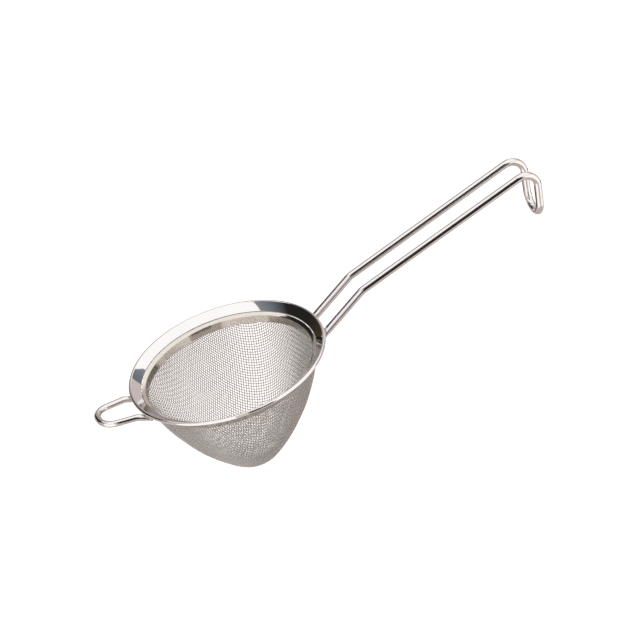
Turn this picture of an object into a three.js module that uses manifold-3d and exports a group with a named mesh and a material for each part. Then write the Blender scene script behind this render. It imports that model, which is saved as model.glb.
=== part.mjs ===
// A conical tea strainer with a wire handle, in millimetres, +Z up.
// Origin: centre of the rim, in the plane of its rolled bead. The cone hangs down
// -Z, the handle runs out along +X and the rest loop along -X.
import * as THREE from "three";
import { mergeVertices } from "three/addons/utils/BufferGeometryUtils.js";
import Module from "manifold-3d";

// Rim: one pressed ring, a rolled bead outside and a flange that slopes down inwards
// from the bead's top.
const RIM_RADIUS = 40;
const BEAD_RADIUS = 0.75;
const FLANGE_INNER_RADIUS = 35.7;
const FLANGE_SLOPE = 39.5;
const SHEET = 0.4;
const BEAD_STEPS = 14;

// Clamp ring: a lip that carries the flange on inwards, less steeply, and bends down
// into a band that holds the mesh.
const LIP_OUTER_RADIUS = 35.4;
const LIP_INNER_RADIUS = 34.1;
const LIP_DEPTH = 2.05;
const LIP_SLOPE = 28;
const LIP_BEND_RADIUS = 0.35;
const LIP_BEND_STEPS = 4;
const BAND_BOTTOM_DEPTH = 6;
const BAND_BOTTOM_RADIUS = 33.6;

// Mesh cone: the cloth's outer face, a long arc that runs into a rounded tip.
const CONE_TOP_RADIUS = 35.88;
const CONE_TOP_DEPTH = 2.95;
const CONE_DEPTH = 47.8;
const WALL_ARC_RADIUS = 96;
const TIP_ARC_RADIUS = 15.5;
const CLOTH = 0.5;
const WALL_STEPS = 9;
const TIP_STEPS = 5;
const CONE_LEAN = 0.028; // the hand-formed cone leans towards the rest loop

// Handle: one wire, two legs and a hook that a U-turn closes.
const HANDLE_WIRE_RADIUS = 1.55;
const LEG_SPACING = 13.2;
const LEG_END_X = 36.7;
const LEG_SLOPE = 29;
const LEG_BEND = { x: 58.65, z: 7.8, radius: 6 };
const GRIP_SLOPE = 12.8;
const HOOK_X = 140;
const HOOK_SPACING = 13.6;
const HOOK_RADIUS = 5.8;
const HOOK_BOTTOM_Z = 4.1;
const HOOK_LEAN = 8.5;
const U_TURN_RADIUS = 6.1;

// Rest loop: one wire, bent down at each end to pass under the bead.
const LOOP_WIRE_RADIUS = 1.3;
const LOOP_END = { x: -36.4, y: 8.1, z: -3.7 };
const LOOP_TUCK = { x: -41.6, y: 7.8, z: -0.85, radius: 4 };
const LOOP_TIP = { x: -54.9, y: 6.3, z: 0.7, radius: 6.1 };

// Welds: a nugget between each wire end and the flange's underside.
const HANDLE_WELD = { x: 37.9, y: 6.6, z: -1.5, length: 1.6, width: 1.6, height: 1.3 };
const LOOP_WELD = { x: -37.3, y: 8, z: -1.55, length: 1.4, width: 1.5, height: 1.2 };
const WELD_GAP = 0.1;

const ROUND_SEGMENTS = 64;
const WIRE_SIDES = 12;
const BEND_STEP = THREE.MathUtils.degToRad(13);

const wasm = await Module();
wasm.setup();

const steel = (color, roughness) =>
  new THREE.MeshStandardMaterial({ color, roughness, metalness: 1 });
const polished = steel(0xd4d2cf, 0.12);
const brushed = steel(0xb4ad9f, 0.28);
const woven = steel(0xa8a49b, 0.35);
const heated = steel(0x8d8378, 0.45);

const part = new THREE.Group();

function addMesh(name, geometry, material) {
  const mesh = new THREE.Mesh(geometry, material);
  mesh.name = name;
  part.add(mesh);
}

const tan = (degrees) => Math.tan(THREE.MathUtils.degToRad(degrees));
const cos = (degrees) => Math.cos(THREE.MathUtils.degToRad(degrees));
const sin = (degrees) => Math.sin(THREE.MathUtils.degToRad(degrees));

// The direction from one point to another, in degrees from -180 to 180.
const heading = (from, to) =>
  THREE.MathUtils.radToDeg(Math.atan2(to.y - from.y, to.x - from.x));

// Points on an arc about (r, z), between two angles in degrees, both ends included.
function arc(r, z, radius, { from, to, steps }) {
  return Array.from({ length: steps + 1 }, (_, i) => {
    const angle = THREE.MathUtils.degToRad(from + ((to - from) * i) / steps);
    return new THREE.Vector2(r + radius * Math.cos(angle), z + radius * Math.sin(angle));
  });
}

// Turns a profile of radius and height about Z. It runs anticlockwise, seen with
// the radius to the right and the height up.
function revolve(profile) {
  return new THREE.LatheGeometry(profile, ROUND_SEGMENTS).rotateX(Math.PI / 2);
}

// A wire's centre line: straight runs between corners, each corner an arc of its own
// radius. It steps finely round the arcs and once along each straight.
class WireRoute extends THREE.Curve {
  constructor(corners) {
    super();
    this.stations = [corners[0].at];
    for (let i = 1; i < corners.length - 1; i++) {
      this.addBend(corners[i - 1].at, corners[i], corners[i + 1].at);
    }
    this.stations.push(corners.at(-1).at);
  }

  addBend(before, { at, radius }, after) {
    const inward = before.clone().sub(at).normalize();
    const outward = after.clone().sub(at).normalize();
    const turn = Math.PI - inward.angleTo(outward);
    const reach = radius * Math.tan(turn / 2);
    const toCentre = inward.clone().add(outward).normalize();
    const centre = at.clone().addScaledVector(toCentre, radius / Math.cos(turn / 2));
    const start = at.clone().addScaledVector(inward, reach).sub(centre);
    const end = at.clone().addScaledVector(outward, reach).sub(centre);
    const axis = new THREE.Vector3().crossVectors(start, end).normalize();
    const steps = Math.max(2, Math.ceil(turn / BEND_STEP));
    for (let i = 0; i <= steps; i++) {
      const spoke = start.clone().applyAxisAngle(axis, (turn * i) / steps);
      this.stations.push(spoke.add(centre));
    }
  }

  getPoint(t, target = new THREE.Vector3()) {
    const place = t * (this.stations.length - 1);
    const index = Math.min(Math.floor(place), this.stations.length - 2);
    const [from, to] = [this.stations[index], this.stations[index + 1]];
    return target.lerpVectors(from, to, place - index);
  }

  // Stations are shared out by number, not by length.
  getUtoTmapping(u) {
    return u;
  }
}

function sweepWire(route, radius) {
  const section = new THREE.Shape();
  section.absarc(0, 0, radius, 0, 2 * Math.PI, false);
  return new THREE.ExtrudeGeometry(section, {
    steps: route.stations.length - 1,
    curveSegments: WIRE_SIDES / 2,
    extrudePath: route,
    bevelEnabled: false,
  });
}

// A corner of a wire, and the same corner on the other leg.
const corner = (x, y, z, radius = 0) => ({ at: new THREE.Vector3(x, y, z), radius });
const mirrored = ({ at, radius }) => corner(at.x, -at.y, at.z, radius);
const bothLegs = (leg) => [...leg, ...leg.map(mirrored).reverse()];

function solidOf(geometry) {
  const bare = geometry.clone();
  bare.deleteAttribute("normal");
  bare.deleteAttribute("uv");
  const merged = mergeVertices(bare, 1e-3);
  return new wasm.Manifold(
    new wasm.Mesh({
      numProp: 3,
      vertProperties: merged.attributes.position.array,
      triVerts: merged.index.array,
    }),
  );
}

function geometryOf(solid) {
  const { vertProperties, triVerts } = solid.getMesh();
  const geometry = new THREE.BufferGeometry();
  geometry.setAttribute("position", new THREE.BufferAttribute(vertProperties, 3));
  geometry.setIndex(new THREE.BufferAttribute(triVerts, 1));
  geometry.computeVertexNormals();
  return geometry;
}

// The rim's section: under the bead from where the flange's underside meets it, over
// the outside to where its top leaves it, then down the top and back up the underside.
// `grow` thickens it.
function rimProfile(grow = 0) {
  const centre = RIM_RADIUS - BEAD_RADIUS;
  const inner = FLANGE_INNER_RADIUS - grow;
  const over = BEAD_RADIUS + grow;
  const under = BEAD_RADIUS - SHEET - grow;
  const atInner = (fromCentre) =>
    fromCentre / cos(FLANGE_SLOPE) - (centre - inner) * tan(FLANGE_SLOPE);
  const leaves = 90 + FLANGE_SLOPE;
  const meets = leaves + THREE.MathUtils.radToDeg(Math.acos(under / over)) - 360;
  const bead = arc(centre, 0, over, { from: meets, to: leaves, steps: BEAD_STEPS });
  const top = new THREE.Vector2(inner, atInner(over));
  const bottom = new THREE.Vector2(inner, atInner(under));
  return [...bead, top, bottom, bead[0].clone()];
}

// The clamp ring's section: down the lip's top, round its bend and down the band's inner
// face, then back up behind the band and the lip.
function clampProfile() {
  const drop = (LIP_OUTER_RADIUS - LIP_INNER_RADIUS) * tan(LIP_SLOPE);
  const elbow = new THREE.Vector2(
    LIP_INNER_RADIUS + LIP_BEND_RADIUS * sin(LIP_SLOPE),
    -LIP_DEPTH - drop - LIP_BEND_RADIUS * cos(LIP_SLOPE),
  );
  const inside = new THREE.Vector2(BAND_BOTTOM_RADIUS, -BAND_BOTTOM_DEPTH);
  const outside = new THREE.Vector2(BAND_BOTTOM_RADIUS + SHEET, -BAND_BOTTOM_DEPTH);
  const bandFaces = heading(inside, elbow) + 90;
  const turn = { from: 90 + LIP_SLOPE, to: bandFaces, steps: LIP_BEND_STEPS };
  const bend = arc(elbow.x, elbow.y, LIP_BEND_RADIUS, turn);
  const top = new THREE.Vector2(LIP_OUTER_RADIUS, -LIP_DEPTH);
  const bottom = new THREE.Vector2(LIP_OUTER_RADIUS, -LIP_DEPTH - SHEET / cos(LIP_SLOPE));
  return [top, ...bend, inside, outside, elbow, bottom, top.clone()];
}

// One face of the cone. The wall's arc passes through the cone's top edge and touches
// the tip's arc, which fixes its centre.
function coneFace(inset) {
  const tip = new THREE.Vector2(0, TIP_ARC_RADIUS - CONE_DEPTH);
  const edge = new THREE.Vector2(CONE_TOP_RADIUS, -CONE_TOP_DEPTH);
  const apart = tip.distanceTo(edge);
  const unit = edge.clone().sub(tip).divideScalar(apart);
  const fromTip = WALL_ARC_RADIUS - TIP_ARC_RADIUS;
  const along = (fromTip ** 2 - WALL_ARC_RADIUS ** 2 + apart ** 2) / (2 * apart);
  const across = Math.sqrt(fromTip ** 2 - along ** 2);
  const wall = tip.clone().addScaledVector(unit, along);
  wall.addScaledVector(new THREE.Vector2(-unit.y, unit.x), across);
  const [start, joint] = [edge, tip].map((to) => heading(wall, to));
  const wallTurn = { from: start, to: joint, steps: WALL_STEPS };
  const tipTurn = { from: joint, to: -90, steps: TIP_STEPS };
  const wallArc = arc(wall.x, wall.y, WALL_ARC_RADIUS - inset, wallTurn);
  const tipArc = arc(tip.x, tip.y, TIP_ARC_RADIUS - inset, tipTurn);
  tipArc.at(-1).x = 0;
  return [...wallArc, ...tipArc.slice(1)];
}

// Its section runs up the outer face and down the inner one, and the lean slides
// each height sideways by its depth below the top edge.
function makeCone() {
  const cone = revolve([...coneFace(0).reverse(), ...coneFace(CLOTH)]);
  const lean = new THREE.Matrix4().makeShear(0, 0, 0, 0, CONE_LEAN, 0);
  return cone.applyMatrix4(lean).translate(CONE_LEAN * CONE_TOP_DEPTH, 0, 0);
}

function handleRoute() {
  const spacing = LEG_SPACING / 2;
  const legEndZ = LEG_BEND.z - (LEG_BEND.x - LEG_END_X) * tan(LEG_SLOPE);
  const hookTopZ = LEG_BEND.z + (HOOK_X - LEG_BEND.x) * tan(GRIP_SLOPE);
  const hookBottomX = HOOK_X - (hookTopZ - HOOK_BOTTOM_Z) * tan(HOOK_LEAN);
  const leg = [
    corner(LEG_END_X, spacing, legEndZ),
    corner(LEG_BEND.x, spacing, LEG_BEND.z, LEG_BEND.radius),
    corner(HOOK_X, HOOK_SPACING / 2, hookTopZ, HOOK_RADIUS),
    corner(hookBottomX, U_TURN_RADIUS, HOOK_BOTTOM_Z, U_TURN_RADIUS),
  ];
  return new WireRoute(bothLegs(leg));
}

function loopRoute() {
  const leg = [
    corner(LOOP_END.x, LOOP_END.y, LOOP_END.z),
    corner(LOOP_TUCK.x, LOOP_TUCK.y, LOOP_TUCK.z, LOOP_TUCK.radius),
    corner(LOOP_TIP.x, LOOP_TIP.y, LOOP_TIP.z, LOOP_TIP.radius),
  ];
  return new WireRoute(bothLegs(leg));
}

// A weld: a flattened nugget, cut back to clear the rim and its wire.
function makeWeld(place, side, keepClear) {
  const nugget = new THREE.SphereGeometry(1, 12, 8);
  nugget.scale(place.length, place.width, place.height);
  nugget.translate(place.x, side * place.y, place.z);
  const cut = keepClear.reduce((rest, solid) => rest.subtract(solid), solidOf(nugget));
  return geometryOf(cut);
}

const handle = handleRoute();
const loop = loopRoute();

addMesh("rim_flange", revolve(rimProfile()), polished);
addMesh("mesh_clamp_ring", revolve(clampProfile()), brushed);
addMesh("mesh_cone", makeCone(), woven);
addMesh("handle_wire", sweepWire(handle, HANDLE_WIRE_RADIUS), polished);
addMesh("rest_loop_wire", sweepWire(loop, LOOP_WIRE_RADIUS), polished);

const clearOfRim = solidOf(revolve(rimProfile(WELD_GAP)));
const clearOfHandle = solidOf(sweepWire(handle, HANDLE_WIRE_RADIUS + WELD_GAP));
const clearOfLoop = solidOf(sweepWire(loop, LOOP_WIRE_RADIUS + WELD_GAP));
for (const [side, label] of [[1, "left"], [-1, "right"]]) {
  const handleWeld = makeWeld(HANDLE_WELD, side, [clearOfRim, clearOfHandle]);
  const loopWeld = makeWeld(LOOP_WELD, side, [clearOfRim, clearOfLoop]);
  addMesh("handle_weld_" + label, handleWeld, heated);
  addMesh("rest_loop_weld_" + label, loopWeld, heated);
}

export default part;
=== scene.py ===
"""The looks of a conical tea strainer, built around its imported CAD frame.

The row frame is in metres: the rim lies in the XY plane about the origin, the cone hangs
down -Z, the handle runs out along +X and the rest loop along -X. Shapes are worked out in
millimetres and turned into metres when their meshes are made.
"""

import math
import random

import bpy
import numpy as np
from mathutils import Matrix, Vector, noise


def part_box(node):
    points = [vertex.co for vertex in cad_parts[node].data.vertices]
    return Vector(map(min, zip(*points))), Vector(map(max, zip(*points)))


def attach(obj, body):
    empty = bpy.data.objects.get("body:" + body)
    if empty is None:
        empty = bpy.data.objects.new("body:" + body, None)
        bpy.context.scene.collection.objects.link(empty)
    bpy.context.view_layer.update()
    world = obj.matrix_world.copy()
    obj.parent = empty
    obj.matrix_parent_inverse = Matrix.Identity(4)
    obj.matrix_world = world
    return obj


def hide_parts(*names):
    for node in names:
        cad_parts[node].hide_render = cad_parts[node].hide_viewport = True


MM = 0.001

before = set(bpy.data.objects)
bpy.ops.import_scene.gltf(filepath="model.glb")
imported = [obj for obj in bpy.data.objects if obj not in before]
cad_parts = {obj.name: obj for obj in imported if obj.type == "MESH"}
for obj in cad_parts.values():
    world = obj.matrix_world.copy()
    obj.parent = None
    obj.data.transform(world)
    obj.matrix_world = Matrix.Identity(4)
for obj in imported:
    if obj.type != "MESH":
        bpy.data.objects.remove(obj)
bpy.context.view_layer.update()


def node_box(name):
    """A CAD node's lowest and highest corners in millimetres."""
    return [[round(c / MM, 2) for c in corner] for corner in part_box(name)]


RIM_BOX = node_box("rim_flange")
RING_BOX = node_box("mesh_clamp_ring")
CONE_BOX = node_box("mesh_cone")

# Camera: a long lens, turned about its own axis as well.
CAMERA_AZIMUTH = -11.365
CAMERA_ELEVATION = 32.33
CAMERA_ROLL = 18.8
CAMERA_DISTANCE = 1.5
CAMERA_AIM = (0.036251, 0.016272)
CAMERA_LENS = 216.7

# Rim: a flange that slopes down inwards and a rolled bead outside.
RIM_RADIUS = RIM_BOX[1][0]
BEAD_RADIUS = 0.75
FLANGE_INNER_RADIUS = 35.7
FLANGE_SLOPE = 39.5
SHEET = 0.4
BEAD_TUCK = -165  # the angle, about the bead's centre, at which its curl ends

# How far the sheared edges of the flange, the lip and the band are rounded.
SHEARED_EDGE = 0.06
LIP_EDGE = 0.05
BAND_EDGE = 0.17

# Clamp ring: a lip that carries the flange on inwards and a band that holds the cloth. The
# lip's top edge lies just inside and below the CAD's.
LIP_INSET = 0.03
LIP_SINK = 0.11
LIP_TOP = (RING_BOX[1][0] - LIP_INSET, RING_BOX[1][2] - LIP_SINK)
LIP_INNER_RADIUS = 34.1
LIP_SLOPE = 28
LIP_BEND_RADIUS = 0.35
LIP_BEND_END = 174
BAND_BOTTOM = (33.6, RING_BOX[0][2])

# Cone: a rounded tip that runs into a long wall arc. CONE_TOP is the top of its outer face,
# which lies a little below the top of its inner one.
CONE_TOP = (CONE_BOX[1][0], -2.95)
CONE_DEPTH = -CONE_BOX[0][2]
WALL_ARC_RADIUS = 96
TIP_ARC_RADIUS = 15.5
HALF_CLOTH = 0.25
CONE_LEAN = 0.028
CLOTH_EDGE_Z = -2.75

# Cloth: plain weave, cut square and drawn into the cone, so its cells keep their sides
# and shear between the four directions that its wires run down.
PITCH = 1.05
CLOTH_WIRE_RADIUS = 0.14
CLOTH_WIRE_SIDES = 6
CLOTH_AZIMUTH = 56
CLOTH_UNEVENNESS = 0.12
CLOTH_WAVELENGTH = 9
CLOTH_CUT = (-0.35, 0.25)  # how far each wire is cut off below or above CLOTH_EDGE_Z

# Handle and rest loop: corners of the wires' centre lines, with the radius of each bend.
HANDLE_WIRE_RADIUS = 1.55
LOOP_WIRE_RADIUS = 1.3
WIRE_SIDES = 28

RIM_SEGMENTS = 360


# ---------------------------------------------------------------- camera, light, floor

def camera_axes():
    """The camera's right, up and backward directions."""
    azimuth, elevation, roll = (
        math.radians(a) for a in (CAMERA_AZIMUTH, CAMERA_ELEVATION, CAMERA_ROLL)
    )
    back = Vector((
        math.sin(azimuth) * math.cos(elevation),
        -math.cos(azimuth) * math.cos(elevation),
        math.sin(elevation),
    ))
    level = Vector((math.cos(azimuth), math.sin(azimuth), 0))
    upright = back.cross(level)
    right = math.cos(roll) * level - math.sin(roll) * upright
    up = math.sin(roll) * level + math.cos(roll) * upright
    return right, up, back


def make_camera():
    right, up, back = camera_axes()
    data = bpy.data.cameras.new("camera")
    data.lens = CAMERA_LENS
    data.sensor_width = 36
    data.clip_end = 20
    camera = bpy.data.objects.new("camera", data)
    place = right * CAMERA_AIM[0] + up * CAMERA_AIM[1] + back * CAMERA_DISTANCE
    turn = Matrix((right, up, back)).transposed().to_4x4()
    camera.matrix_world = Matrix.Translation(place) @ turn
    bpy.context.collection.objects.link(camera)
    bpy.context.scene.camera = camera


SKY_STRENGTH = 1.18
BACKDROP_STRENGTH = 1.2
HORIZON_COLOUR = (0.56, 0.495, 0.485)
HORIZON_BAND = (0.42, 0.52)


def make_world():
    """Soft white light from everywhere, a little pink towards the horizon."""
    world = bpy.data.worlds.new("studio")
    world.use_nodes = True
    bpy.context.scene.world = world
    nodes, links = world.node_tree.nodes, world.node_tree.links
    sky = nodes["Background"]
    sky.inputs["Strength"].default_value = SKY_STRENGTH
    place = nodes.new("ShaderNodeTexCoord")
    split = nodes.new("ShaderNodeSeparateXYZ")
    ramp = nodes.new("ShaderNodeValToRGB")
    links.new(place.outputs["Generated"], split.inputs[0])
    links.new(split.outputs["Z"], ramp.inputs[0])
    links.new(ramp.outputs[0], sky.inputs["Color"])
    ramp.color_ramp.elements[0].position = HORIZON_BAND[0]
    ramp.color_ramp.elements[0].color = (*HORIZON_COLOUR, 1)
    ramp.color_ramp.elements[1].position = HORIZON_BAND[1]
    ramp.color_ramp.elements[1].color = (1, 1, 1, 1)
    plain = nodes.new("ShaderNodeBackground")
    plain.inputs["Color"].default_value = (1, 1, 1, 1)
    plain.inputs["Strength"].default_value = BACKDROP_STRENGTH
    path = nodes.new("ShaderNodeLightPath")
    mix = nodes.new("ShaderNodeMixShader")
    links.new(path.outputs["Is Camera Ray"], mix.inputs[0])
    links.new(sky.outputs[0], mix.inputs[1])
    links.new(plain.outputs[0], mix.inputs[2])
    links.new(mix.outputs[0], nodes["World Output"].inputs[0])


def glow(name):
    """A plain glow in the colours that the mesh carries."""
    material = bpy.data.materials.new(name)
    material.use_nodes = True
    nodes, links = material.node_tree.nodes, material.node_tree.links
    nodes.remove(nodes["Principled BSDF"])
    emission = nodes.new("ShaderNodeEmission")
    tint = nodes.new("ShaderNodeVertexColor")
    tint.layer_name = "tint"
    links.new(tint.outputs["Color"], emission.inputs["Color"])
    links.new(emission.outputs[0], nodes["Material Output"].inputs[0])
    return material


CARD_DISTANCE = 1.1
CARD_STEPS = 12


def direction(azimuth, elevation):
    """The unit vector towards that azimuth, from +X, and elevation, in degrees."""
    azimuth, elevation = math.radians(azimuth), math.radians(elevation)
    return Vector((
        math.cos(azimuth) * math.cos(elevation),
        math.sin(azimuth) * math.cos(elevation),
        math.sin(elevation),
    ))


def make_card(name, azimuths, elevations, first, last=None):
    """A curved studio card round the object, between those angles in degrees, that runs from
    the first colour to the last. Cameras don't see it, and it throws no shadow."""
    side = CARD_STEPS + 1
    places = [
        direction(azimuth, elevation) * CARD_DISTANCE
        for elevation in np.linspace(*elevations, side)
        for azimuth in np.linspace(*azimuths, side)
    ]
    faces = [
        (i * side + k, i * side + k + 1, (i + 1) * side + k + 1, (i + 1) * side + k)
        for i in range(CARD_STEPS)
        for k in range(CARD_STEPS)
    ]
    mesh = bpy.data.meshes.new(name)
    mesh.from_pydata(places, [], faces)
    row = np.linspace((*first, 1), (*(last or first), 1), side)
    tint = mesh.color_attributes.new("tint", "FLOAT_COLOR", "POINT")
    tint.data.foreach_set("color", np.tile(row, (side, 1)).astype(np.float32).ravel())
    mesh.materials.append(glow(name))
    card = bpy.data.objects.new(name, mesh)
    card.visible_camera = False
    card.visible_shadow = False
    bpy.context.collection.objects.link(card)


def make_cards():
    """The dark, the grey and the bright parts of the room, which polished steel reflects."""
    black = (0.017, 0.017, 0.015)
    dark = (0.026, 0.021, 0.018)
    bright = (1.3, 1.24, 1.2)
    make_card("card_front", (264, 292), (-21, 40), dark)
    make_card("card_front_high", (246, 280), (40, 60), dark)
    make_card("card_front_left", (185, 250), (-55, 22), bright)
    make_card("card_front_right", (296, 355), (-55, 22), bright)
    make_card("card_back_grey", (62, 103), (3, 52), (0.42, 0.375, 0.365))
    make_card("card_back_olive", (103, 126), (0.5, 22), (0.055, 0.04, 0.024), black)
    make_card("card_back_high", (103, 126), (22, 48), black)
    make_card("card_back_black", (126, 150), (3, 50), black)
    blue = (0.175, 0.20, 0.235)
    make_card("card_back_slate", (150, 166), (22, 66), (0.03, 0.031, 0.032), blue)
    make_card("card_back_blue", (166, 180), (30, 70), blue, (0.27, 0.285, 0.30))
    make_card("card_side_blue", (20, 36), (11, 31), (0.25, 0.28, 0.33), (0.15, 0.18, 0.21))
    make_card("card_under", (0, 160), (-29, -22.5), (0.055, 0.042, 0.036))


FLOOR_Z = -0.8
FLOOR_SIZE = 6.0
BOUNCE_GAP = 0.02


def make_level(name, height, colour, glow_strength):
    """A square sheet of the studio's floor."""
    side = FLOOR_SIZE / 2
    corners = [(-side, -side, height), (side, -side, height)]
    corners += [(side, side, height), (-side, side, height)]
    mesh = bpy.data.meshes.new(name)
    mesh.from_pydata(corners, [], [(0, 1, 2, 3)])
    material = bpy.data.materials.new(name)
    material.use_nodes = True
    surface = material.node_tree.nodes["Principled BSDF"]
    surface.inputs["Base Color"].default_value = (*colour, 1)
    surface.inputs["Roughness"].default_value = 0.9
    surface.inputs["Emission Color"].default_value = (1, 1, 1, 1)
    surface.inputs["Emission Strength"].default_value = glow_strength
    mesh.materials.append(material)
    level = bpy.data.objects.new(name, mesh)
    bpy.context.collection.objects.link(level)
    return level


def make_floor():
    """A pale floor for cameras, and just over it a pinkish one for everything else, which the
    steel reflects."""
    floor = make_level("floor", FLOOR_Z, (0.9, 0.9, 0.9), 0.5)
    floor.visible_glossy = False
    bounce = make_level("floor_bounce", FLOOR_Z + BOUNCE_GAP, (0.62, 0.56, 0.545), 0.0)
    bounce.visible_camera = False
    bounce.visible_shadow = False


# ------------------------------------------------------------------------- materials

def steel(name, colour, roughness, streaks, wear=0.5, grain_on="UV"):
    """Stainless steel: a base colour that clouds over slightly, roughness that follows fine
    streaks, and a bump too small to see but for the glints. `streaks` gives the grain's
    number per unit of length along and across the piece: a UV map is in millimetres, and
    "Object" coordinates, for a piece without a UV map, are in metres."""
    material = bpy.data.materials.new(name)
    material.use_nodes = True
    nodes, links = material.node_tree.nodes, material.node_tree.links
    surface = nodes["Principled BSDF"]
    surface.inputs["Metallic"].default_value = 1
    place = nodes.new("ShaderNodeTexCoord")

    grain_place = nodes.new("ShaderNodeMapping")
    grain_place.inputs["Scale"].default_value = (streaks[0], streaks[1], streaks[1])
    links.new(place.outputs[grain_on], grain_place.inputs[0])
    grain = nodes.new("ShaderNodeTexNoise")
    grain.inputs["Scale"].default_value = 1
    grain.inputs["Detail"].default_value = 5
    links.new(grain_place.outputs[0], grain.inputs["Vector"])

    cloud = nodes.new("ShaderNodeTexNoise")
    cloud.inputs["Scale"].default_value = 90
    cloud.inputs["Detail"].default_value = 4
    links.new(place.outputs["Object"], cloud.inputs["Vector"])

    tone = nodes.new("ShaderNodeValToRGB")
    low = [c * (1 - 0.12 * wear) for c in colour]
    tone.color_ramp.elements[0].position = 0.3
    tone.color_ramp.elements[0].color = (*low, 1)
    tone.color_ramp.elements[1].position = 0.7
    tone.color_ramp.elements[1].color = (*colour, 1)
    links.new(cloud.outputs["Fac"], tone.inputs[0])
    links.new(tone.outputs[0], surface.inputs["Base Color"])

    rough = nodes.new("ShaderNodeMapRange")
    rough.inputs["From Min"].default_value = 0.3
    rough.inputs["From Max"].default_value = 0.7
    rough.inputs["To Min"].default_value = roughness * (1 - 0.35 * wear)
    rough.inputs["To Max"].default_value = roughness * (1 + 0.6 * wear)
    links.new(grain.outputs["Fac"], rough.inputs[0])
    links.new(rough.outputs[0], surface.inputs["Roughness"])

    bump = nodes.new("ShaderNodeBump")
    bump.inputs["Strength"].default_value = 0.12 * wear
    bump.inputs["Distance"].default_value = 0.00002
    links.new(grain.outputs["Fac"], bump.inputs["Height"])
    links.new(bump.outputs[0], surface.inputs["Normal"])
    return material


# ------------------------------------------------------------------- building meshes

def make_piece(name, vertices, faces, material, nodes, uv=None):
    """A smooth mesh piece from vertices in millimetres, in place of the CAD nodes."""
    mesh = bpy.data.meshes.new(name)
    mesh.from_pydata((np.asarray(vertices) * MM).tolist(), [], faces)
    mesh.shade_smooth()
    if uv is not None:
        layer = mesh.uv_layers.new(name="UVMap")
        corners = np.concatenate([np.asarray(face) for face in uv])
        layer.data.foreach_set("uv", corners.astype(np.float32).ravel())
    mesh.materials.append(material)
    piece = bpy.data.objects.new(name, mesh)
    bpy.context.collection.objects.link(piece)
    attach(piece, "root")
    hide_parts(*nodes)


def arc(centre, radius, start, stop, steps):
    """Points on an arc between two angles in degrees, both ends included."""
    angles = np.radians(np.linspace(start, stop, steps + 1))
    return [(centre[0] + radius * math.cos(a), centre[1] + radius * math.sin(a)) for a in angles]


def fillet(before, corner, after, radius, steps=6):
    """The points of an arc that rounds the corner between two straight runs."""
    before, corner, after = (np.array(p, float) for p in (before, corner, after))
    inward = (before - corner) / np.linalg.norm(before - corner)
    outward = (after - corner) / np.linalg.norm(after - corner)
    half = math.acos(np.clip(inward @ outward, -1, 1)) / 2
    reach = radius / math.tan(half)
    centre = corner + (inward + outward) / np.linalg.norm(inward + outward) * radius / math.sin(half)
    start = corner + inward * reach - centre
    stop = corner + outward * reach - centre
    turn = math.atan2(start[0] * stop[1] - start[1] * stop[0], start @ stop)
    first = math.degrees(math.atan2(start[1], start[0]))
    return arc(centre, radius, first, first + math.degrees(turn), steps)


def revolve(profile, segments=RIM_SEGMENTS):
    """A closed profile of (radius, height) turned about Z: vertices, faces and UVs."""
    profile = np.array(profile)
    count = len(profile)
    angles = np.linspace(0, 2 * math.pi, segments, endpoint=False)
    vertices = [
        (r * math.cos(a), r * math.sin(a), z) for a in angles for r, z in profile
    ]
    lengths = np.linalg.norm(np.diff(np.vstack([profile, profile[:1]]), axis=0), axis=1)
    along = np.concatenate([[0], np.cumsum(lengths)])
    girth = 2 * math.pi * profile[:, 0].mean()
    faces, uv = [], []
    for s in range(segments):
        here, there = s * count, (s + 1) % segments * count
        left, right = girth * s / segments, girth * (s + 1) / segments
        for i in range(count):
            j = (i + 1) % count
            faces.append((here + i, there + i, there + j, here + j))
            uv.append([
                (left, along[i]), (right, along[i]), (right, along[i + 1]), (left, along[i + 1]),
            ])
    return vertices, faces, uv


def tube(centres, normals, radius, sides, heights=None):
    """A round wire through the centres: vertices, faces with end caps, and UVs. `heights`
    flattens the section along the normals, station by station."""
    centres, normals = np.asarray(centres), np.asarray(normals)
    tangents = np.gradient(centres, axis=0)
    tangents /= np.linalg.norm(tangents, axis=1, keepdims=True)
    sideways = np.cross(tangents, normals)
    sideways /= np.linalg.norm(sideways, axis=1, keepdims=True)
    upward = np.cross(sideways, tangents)
    heights = np.ones(len(centres)) if heights is None else np.asarray(heights)
    angles = np.linspace(0, 2 * math.pi, sides, endpoint=False)
    rings = centres[:, None] + radius * (
        np.cos(angles)[None, :, None] * (sideways / np.sqrt(heights)[:, None])[:, None]
        + np.sin(angles)[None, :, None] * (upward * heights[:, None])[:, None]
    )
    steps = np.linalg.norm(np.diff(centres, axis=0), axis=1)
    along = np.concatenate([[0], np.cumsum(steps)])
    girth = 2 * math.pi * radius
    faces, uv = [], []
    for s in range(len(centres) - 1):
        for k in range(sides):
            n = (k + 1) % sides
            here, there = s * sides, (s + 1) * sides
            faces.append((here + k, there + k, there + n, here + n))
            low, high = girth * k / sides, girth * (k + 1) / sides
            uv.append([(along[s], low), (along[s + 1], low), (along[s + 1], high), (along[s], high)])
    last = (len(centres) - 1) * sides
    for cap, start in ((range(sides), 0), (reversed(range(last, last + sides)), last)):
        face = tuple(cap)
        faces.append(face)
        uv.append([(k - start, 0.0) for k in face])
    return rings.reshape(-1, 3), faces, uv


# ------------------------------------------------------------------------ rim and ring

def flange_height(radius, from_centre):
    """The height of a line parallel to the flange, by its distance from the bead's centre."""
    slope = math.radians(FLANGE_SLOPE)
    return from_centre / math.cos(slope) - (RIM_RADIUS - BEAD_RADIUS - radius) * math.tan(slope)


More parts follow.
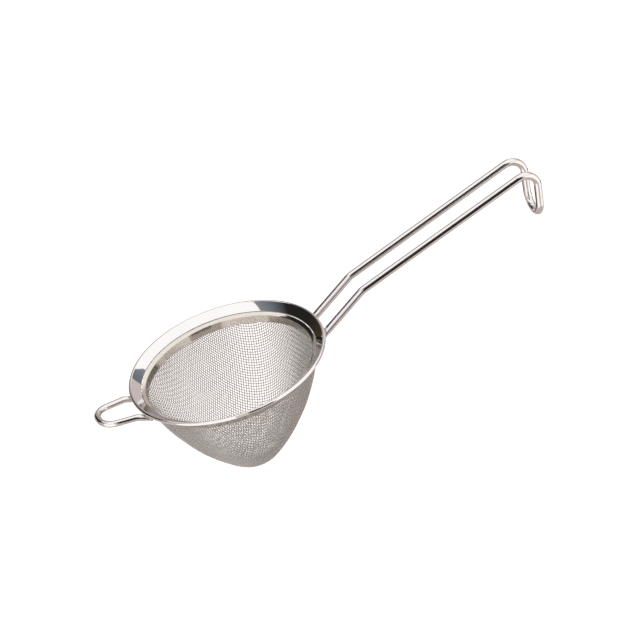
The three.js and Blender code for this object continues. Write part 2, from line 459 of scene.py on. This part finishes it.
def make_rim(material):
    """One pressed ring: the flange runs up into the bead's top, and the bead curls under
    until its sheared edge nearly meets the flange's underside."""
    bead = (RIM_RADIUS - BEAD_RADIUS, 0)
    under = BEAD_RADIUS - SHEET
    leaves = 90 + FLANGE_SLOPE
    top = (FLANGE_INNER_RADIUS, flange_height(FLANGE_INNER_RADIUS, BEAD_RADIUS))
    bottom = (FLANGE_INNER_RADIUS, flange_height(FLANGE_INNER_RADIUS, under))
    start = arc(bead, BEAD_RADIUS, leaves, leaves, 1)[0]
    tuck = arc(bead, BEAD_RADIUS, BEAD_TUCK, BEAD_TUCK, 1)[0]
    notch = (bead[0] - 0.42, bead[1] + 0.02)
    below = (tuck[0] - 0.12, flange_height(tuck[0] - 0.12, under))
    profile = [
        *arc(bead, BEAD_RADIUS, BEAD_TUCK, leaves, 44),
        *fillet(start, top, bottom, SHEARED_EDGE),
        *fillet(top, bottom, below, SHEARED_EDGE),
        below,
        notch,
    ]
    vertices, faces, uv = revolve(profile)
    make_piece("rim_flange_polished", vertices, faces, material, ["rim_flange"], uv)


def make_clamp_ring(material):
    """The lip bends down into the band that presses the cloth outwards. Its sheared edges are
    broken a little."""
    slope = math.radians(LIP_SLOPE)
    drop = (LIP_TOP[0] - LIP_INNER_RADIUS) * math.tan(slope)
    elbow = (
        LIP_INNER_RADIUS + LIP_BEND_RADIUS * math.sin(slope),
        LIP_TOP[1] - drop - LIP_BEND_RADIUS * math.cos(slope),
    )
    inner = BAND_BOTTOM
    outer = (BAND_BOTTOM[0] + SHEET, BAND_BOTTOM[1])
    bottom = (LIP_TOP[0], LIP_TOP[1] - SHEET / math.cos(slope))
    bend = arc(elbow, LIP_BEND_RADIUS, 90 + LIP_SLOPE, LIP_BEND_END, 10)
    profile = [
        *fillet(bottom, LIP_TOP, bend[0], LIP_EDGE),
        *bend,
        *fillet(bend[-1], inner, outer, BAND_EDGE),
        *fillet(inner, outer, elbow, BAND_EDGE),
        elbow,
        *fillet(elbow, bottom, LIP_TOP, LIP_EDGE),
    ]
    vertices, faces, uv = revolve(profile)
    make_piece("clamp_ring", vertices, faces, material, ["mesh_clamp_ring"], uv)


# ------------------------------------------------------------------------------ cloth

def cone_arcs():
    """The wall arc's centre, and the angle at which it hands over to the tip's arc."""
    tip = np.array((0, TIP_ARC_RADIUS - CONE_DEPTH))
    edge = np.array(CONE_TOP)
    apart = np.linalg.norm(edge - tip)
    unit = (edge - tip) / apart
    from_tip = WALL_ARC_RADIUS - TIP_ARC_RADIUS
    along = (from_tip**2 - WALL_ARC_RADIUS**2 + apart**2) / (2 * apart)
    across = math.sqrt(from_tip**2 - along**2)
    wall = tip + unit * along + np.array((-unit[1], unit[0])) * across
    return tip, wall, math.atan2(tip[1] - wall[1], tip[0] - wall[0])


TIP_CENTRE, WALL_CENTRE, JOINT_ANGLE = cone_arcs()


def off_cloth(points):
    """How far the points lie outside the cloth's middle, and its outward normals there."""
    across = np.hypot(points[..., 0], points[..., 1])
    radial = points[..., :2] / np.maximum(across, 1e-9)[..., None]
    height = points[..., 2]
    angle = np.arctan2(height - WALL_CENTRE[1], across - WALL_CENTRE[0])
    on_tip = angle < JOINT_ANGLE
    centre = np.where(on_tip[..., None], TIP_CENTRE, WALL_CENTRE)
    radius = np.where(on_tip, TIP_ARC_RADIUS, WALL_ARC_RADIUS) - HALF_CLOTH
    out = np.stack([across - centre[..., 0], height - centre[..., 1]], axis=-1)
    reach = np.linalg.norm(out, axis=-1)
    out /= reach[..., None]
    normals = np.concatenate([radial * out[..., :1], out[..., 1:]], axis=-1)
    return reach - radius, normals


def settle(guess, first, second):
    """The points on the cloth's middle one pitch from both neighbours."""
    for _ in range(8):
        distance, normals = off_cloth(guess)
        to_first, to_second = guess - first, guess - second
        slopes = np.stack([to_first, to_second, normals], axis=1)
        short = np.stack([
            (PITCH**2 - (to_first**2).sum(1)) / 2,
            (PITCH**2 - (to_second**2).sum(1)) / 2,
            -distance,
        ], axis=1)
        guess = guess + np.linalg.solve(slopes, short[..., None])[..., 0]
    return guess


NET_SIZE = 64
NET_TOP = 0.5


def drape_quarter():
    """A quarter of the drawn cloth. Node (i, j) is the crossing of wire i and wire j, one
    pitch from (i-1, j) and (i, j-1). Crossings above the cone's edge stay empty."""
    net = np.full((NET_SIZE, NET_SIZE, 3), np.nan)
    tip_radius = TIP_ARC_RADIUS - HALF_CLOTH
    wall_radius = WALL_ARC_RADIUS - HALF_CLOTH
    tip_sweep = (JOINT_ANGLE + math.pi / 2) * tip_radius
    for k in range(NET_SIZE):
        length = k * PITCH
        if length < tip_sweep:
            centre, radius, angle = TIP_CENTRE, tip_radius, -math.pi / 2 + length / tip_radius
        else:
            centre, radius = WALL_CENTRE, wall_radius
            angle = JOINT_ANGLE + (length - tip_sweep) / wall_radius
        r = centre[0] + radius * math.cos(angle)
        z = centre[1] + radius * math.sin(angle)
        if z > NET_TOP:
            break
        net[k, 0] = (r, 0, z)
        net[0, k] = (0, r, z)
    for total in range(2, 2 * NET_SIZE - 1):
        i = np.arange(max(1, total - NET_SIZE + 1), min(total, NET_SIZE))
        j = total - i
        first, second, corner = net[i - 1, j], net[i, j - 1], net[i - 1, j - 1]
        known = np.isfinite(first[:, 0]) & np.isfinite(second[:, 0])
        if not known.any():
            continue
        i, j, first, second, corner = (a[known] for a in (i, j, first, second, corner))
        found = settle(first + second - corner, first, second)
        found[found[:, 2] > NET_TOP] = np.nan
        net[i, j] = found
    return net


def drape_cloth():
    """All four quarters, each turned on by a right angle, as one grid of crossings."""
    quarter = drape_quarter()
    reach = NET_SIZE - 1
    index = np.arange(-reach, reach + 1)
    grid = np.full((len(index), len(index), 3), np.nan)
    warp, weft = np.meshgrid(index, index, indexing="ij")
    turns = (
        ((warp >= 0) & (weft >= 0), warp, weft),
        ((warp < 0) & (weft >= 0), weft, -warp),
        ((warp < 0) & (weft < 0), -warp, -weft),
        ((warp >= 0) & (weft < 0), -weft, warp),
    )
    for quarter_turns, (where, a, b) in enumerate(turns):
        angle = math.radians(90 * quarter_turns)
        turn = np.array(Matrix.Rotation(angle, 3, "Z"))
        grid[where] = quarter[a[where], b[where]] @ turn.T
    return grid


def unevenness(point):
    """The hand-drawn cloth isn't quite even: how far it stands out here, in millimetres."""
    return CLOTH_UNEVENNESS * noise.noise(Vector(point) / CLOTH_WAVELENGTH)


def lean(points):
    """The cone leans towards the rest loop, by its depth below the top edge."""
    leant = np.array(points)
    leant[:, 0] += CONE_LEAN * (leant[:, 2] - CONE_TOP[1])
    return leant


def cloth_wire(crossings, first_sign, edge):
    """One wire of the cloth: it passes over and under, flat at each crossing, and it is cut
    off near the cone's edge. None if too little of it is left."""
    known = np.isfinite(crossings[:, 0])
    if known.sum() < 3:
        return None
    signs = first_sign * (-1) ** np.arange(len(crossings))
    crossings, signs = crossings[known], signs[known]
    after = crossings[:-1] + (crossings[1:] - crossings[:-1]) * 0.25
    ahead = crossings[:-1] + (crossings[1:] - crossings[:-1]) * 0.75
    points = np.stack([after, ahead], axis=1).reshape(-1, 3)
    lifts = np.stack([signs[:-1], signs[1:]], axis=1).reshape(-1)
    distance, normals = off_cloth(points)
    bulge = np.array([unevenness(p) for p in points])
    points = points - normals * distance[:, None]
    points += normals * (CLOTH_WIRE_RADIUS * lifts + bulge)[:, None]
    kept = points[:, 2] < edge
    if kept.sum() < 3:
        return None
    return points[kept], normals[kept]


def make_cloth(material):
    """Warp and weft, a piece each. Together they stand for the CAD's shell."""
    grid = drape_cloth()
    draws = random.Random(11)
    count = len(grid)
    turn = np.array(Matrix.Rotation(math.radians(CLOTH_AZIMUTH), 3, "Z"))
    for name, family in (("cloth_warp", grid), ("cloth_weft", grid.transpose(1, 0, 2))):
        over = 1 if name == "cloth_warp" else -1
        vertices, faces, uv, start = [], [], [], 0
        for k in range(count):
            edge = CLOTH_EDGE_Z + draws.uniform(*CLOTH_CUT)
            wire = cloth_wire(family[k], over * (-1) ** k, edge)
            if wire is None:
                continue
            points, normals = wire
            ring, quads, wire_uv = tube(
                lean(points @ turn.T), normals @ turn.T, CLOTH_WIRE_RADIUS, CLOTH_WIRE_SIDES
            )
            vertices.append(ring)
            faces += [tuple(v + start for v in quad) for quad in quads]
            uv += wire_uv
            start += len(ring)
        make_piece(
            name, np.concatenate(vertices), faces, material, ["mesh_cone"], uv
        )


# ------------------------------------------------------------------------------ wires

BEND_STEP = math.radians(4)
STRAIGHT_STEP = 2.5


def wire_route(corners):
    """Stations along a wire's centre line: straight runs between corners, each corner an
    arc of its own radius. A corner is (x, y, z, radius)."""
    places = [np.array(c[:3], float) for c in corners]
    stations = [places[0]]
    for before, corner, after, radius in zip(
        places, places[1:], places[2:], [c[3] for c in corners[1:]]
    ):
        inward = (before - corner) / np.linalg.norm(before - corner)
        outward = (after - corner) / np.linalg.norm(after - corner)
        turn = math.pi - math.acos(np.clip(inward @ outward, -1, 1))
        reach = radius * math.tan(turn / 2)
        middle = (inward + outward) / np.linalg.norm(inward + outward)
        centre = corner + middle * radius / math.cos(turn / 2)
        start, stop = corner + inward * reach - centre, corner + outward * reach - centre
        fill_straight(stations, start + centre)
        steps = max(3, math.ceil(turn / BEND_STEP))
        for s in range(1, steps + 1):
            share = turn * s / steps
            spoke = (start * math.sin(turn - share) + stop * math.sin(share)) / math.sin(turn)
            stations.append(centre + spoke)
    fill_straight(stations, places[-1])
    return np.array(stations)


def fill_straight(stations, end):
    """Adds stations from the last one to the end, evenly spaced."""
    start = stations[-1]
    steps = max(1, math.ceil(np.linalg.norm(end - start) / STRAIGHT_STEP))
    for s in range(1, steps + 1):
        stations.append(start + (end - start) * s / steps)


def both_legs(leg):
    return leg + [(x, -y, z, radius) for x, y, z, radius in reversed(leg)]


def carried_normals(stations):
    """Normals along the wire, each carried on from the one before without twisting."""
    tangents = np.gradient(stations, axis=0)
    tangents /= np.linalg.norm(tangents, axis=1, keepdims=True)
    normal = np.array((0.0, 0.0, 1.0))
    normals = []
    for tangent in tangents:
        normal = normal - tangent * (normal @ tangent)
        normal /= np.linalg.norm(normal)
        normals.append(normal)
    return np.array(normals)


def handle_corners():
    end_x, bend_x, bend_z, hook_x, bottom_z = 36.7, 58.65, 7.8, 140, 4.1
    end_z = bend_z - (bend_x - end_x) * math.tan(math.radians(29))
    hook_z = bend_z + (hook_x - bend_x) * math.tan(math.radians(12.8))
    bottom_x = hook_x - (hook_z - bottom_z) * math.tan(math.radians(8.5))
    return both_legs([
        (end_x, 6.6, end_z, 0),
        (bend_x, 6.6, bend_z, 6),
        (hook_x, 6.8, hook_z, 5.8),
        (bottom_x, 6.1, bottom_z, 6.1),
    ])


def loop_corners():
    return both_legs([
        (-36.4, 8.1, -3.7, 0),
        (-41.6, 7.8, -0.85, 4),
        (-54.9, 6.3, 0.7, 6.1),
    ])


def make_wire(name, corners, radius, flat_length, flatness, material, node):
    """A bent wire whose two ends are pressed flatter where they are welded on."""
    stations = wire_route(corners)
    steps = np.linalg.norm(np.diff(stations, axis=0), axis=1)
    along = np.concatenate([[0], np.cumsum(steps)])
    from_end = np.minimum(along, along[-1] - along)
    share = np.clip(from_end / flat_length, 0, 1)
    heights = flatness + (1 - flatness) * share * share * (3 - 2 * share)
    vertices, faces, uv = tube(stations, carried_normals(stations), radius, WIRE_SIDES, heights)
    make_piece(name, vertices, faces, material, [node], uv)


# ------------------------------------------------------------------------------ welds

WELD_RINGS = 18
WELD_SIDES = 28


def make_weld(name, centre, size, tilt, side, material, node):
    """A nugget that has run between a wire and the flange: an uneven flattened drop, tilted
    as the flange is."""
    lay = Matrix.Rotation(math.radians(tilt), 3, "Y")
    place = Vector((centre[0], side * centre[1], centre[2]))
    vertices = []
    for i in range(WELD_RINGS + 1):
        polar = math.pi * i / WELD_RINGS
        for k in range(WELD_SIDES if 0 < i < WELD_RINGS else 1):
            turn = 2 * math.pi * k / WELD_SIDES
            spoke = Vector((
                math.sin(polar) * math.cos(turn), math.sin(polar) * math.sin(turn), math.cos(polar),
            ))
            swell = 1 + 0.2 * noise.noise(spoke * 1.7 + place)
            drop = Vector([c * s * swell for c, s in zip(spoke, size)])
            vertices.append(place + lay @ drop)
    last = len(vertices) - 1
    faces = []
    for k in range(WELD_SIDES):
        n = (k + 1) % WELD_SIDES
        faces.append((0, 1 + k, 1 + n))
        faces.append((last, last - WELD_SIDES + n, last - WELD_SIDES + k))
        for i in range(WELD_RINGS - 2):
            here, there = 1 + i * WELD_SIDES, 1 + (i + 1) * WELD_SIDES
            faces.append((here + k, there + k, there + n, here + n))
    make_piece(name, vertices, faces, material, [node])


HANDLE_WELD = {"centre": (37.4, 6.6, -1.55), "size": (1.6, 1.7, 0.75), "tilt": -36}
LOOP_WELD = {"centre": (-37.0, 8, -1.45), "size": (1.4, 1.6, 0.7), "tilt": 36}


def make_welds(material):
    for side, label in ((1, "left"), (-1, "right")):
        make_weld("handle_nugget_" + label, **HANDLE_WELD, side=side, material=material,
                  node="handle_weld_" + label)
        make_weld("rest_loop_nugget_" + label, **LOOP_WELD, side=side, material=material,
                  node="rest_loop_weld_" + label)


def main():
    make_camera()
    bpy.context.scene.view_settings.view_transform = "Standard"
    make_world()
    make_cards()
    make_floor()

    sheet = steel("polished_sheet", (0.83, 0.81, 0.80), 0.05, (0.2, 9), wear=0.25)
    # The clamp ring is the same steel as the flange. Its darker, khaki base colour is a painted
    # reflection of the cloth inside the cone, not a colour of its own.
    ring = steel("clamp_ring_steel", (0.70, 0.655, 0.60), 0.09, (0.05, 6), wear=0.35)
    woven = steel("woven_wire", (0.565, 0.55, 0.525), 0.22, (0.8, 6), wear=0.8)
    wire = steel("polished_wire", (0.80, 0.78, 0.77), 0.1, (0.3, 10))
    weld = steel("weld_metal", (0.48, 0.42, 0.36), 0.42, (1400, 1400), 1, "Object")

    make_rim(sheet)
    make_clamp_ring(ring)
    make_cloth(woven)
    make_wire("handle_wire_polished", handle_corners(), HANDLE_WIRE_RADIUS, 6, 0.8, wire,
              "handle_wire")
    make_wire("rest_loop_polished", loop_corners(), LOOP_WIRE_RADIUS, 5, 0.75, wire,
              "rest_loop_wire")
    make_welds(weld)


main()
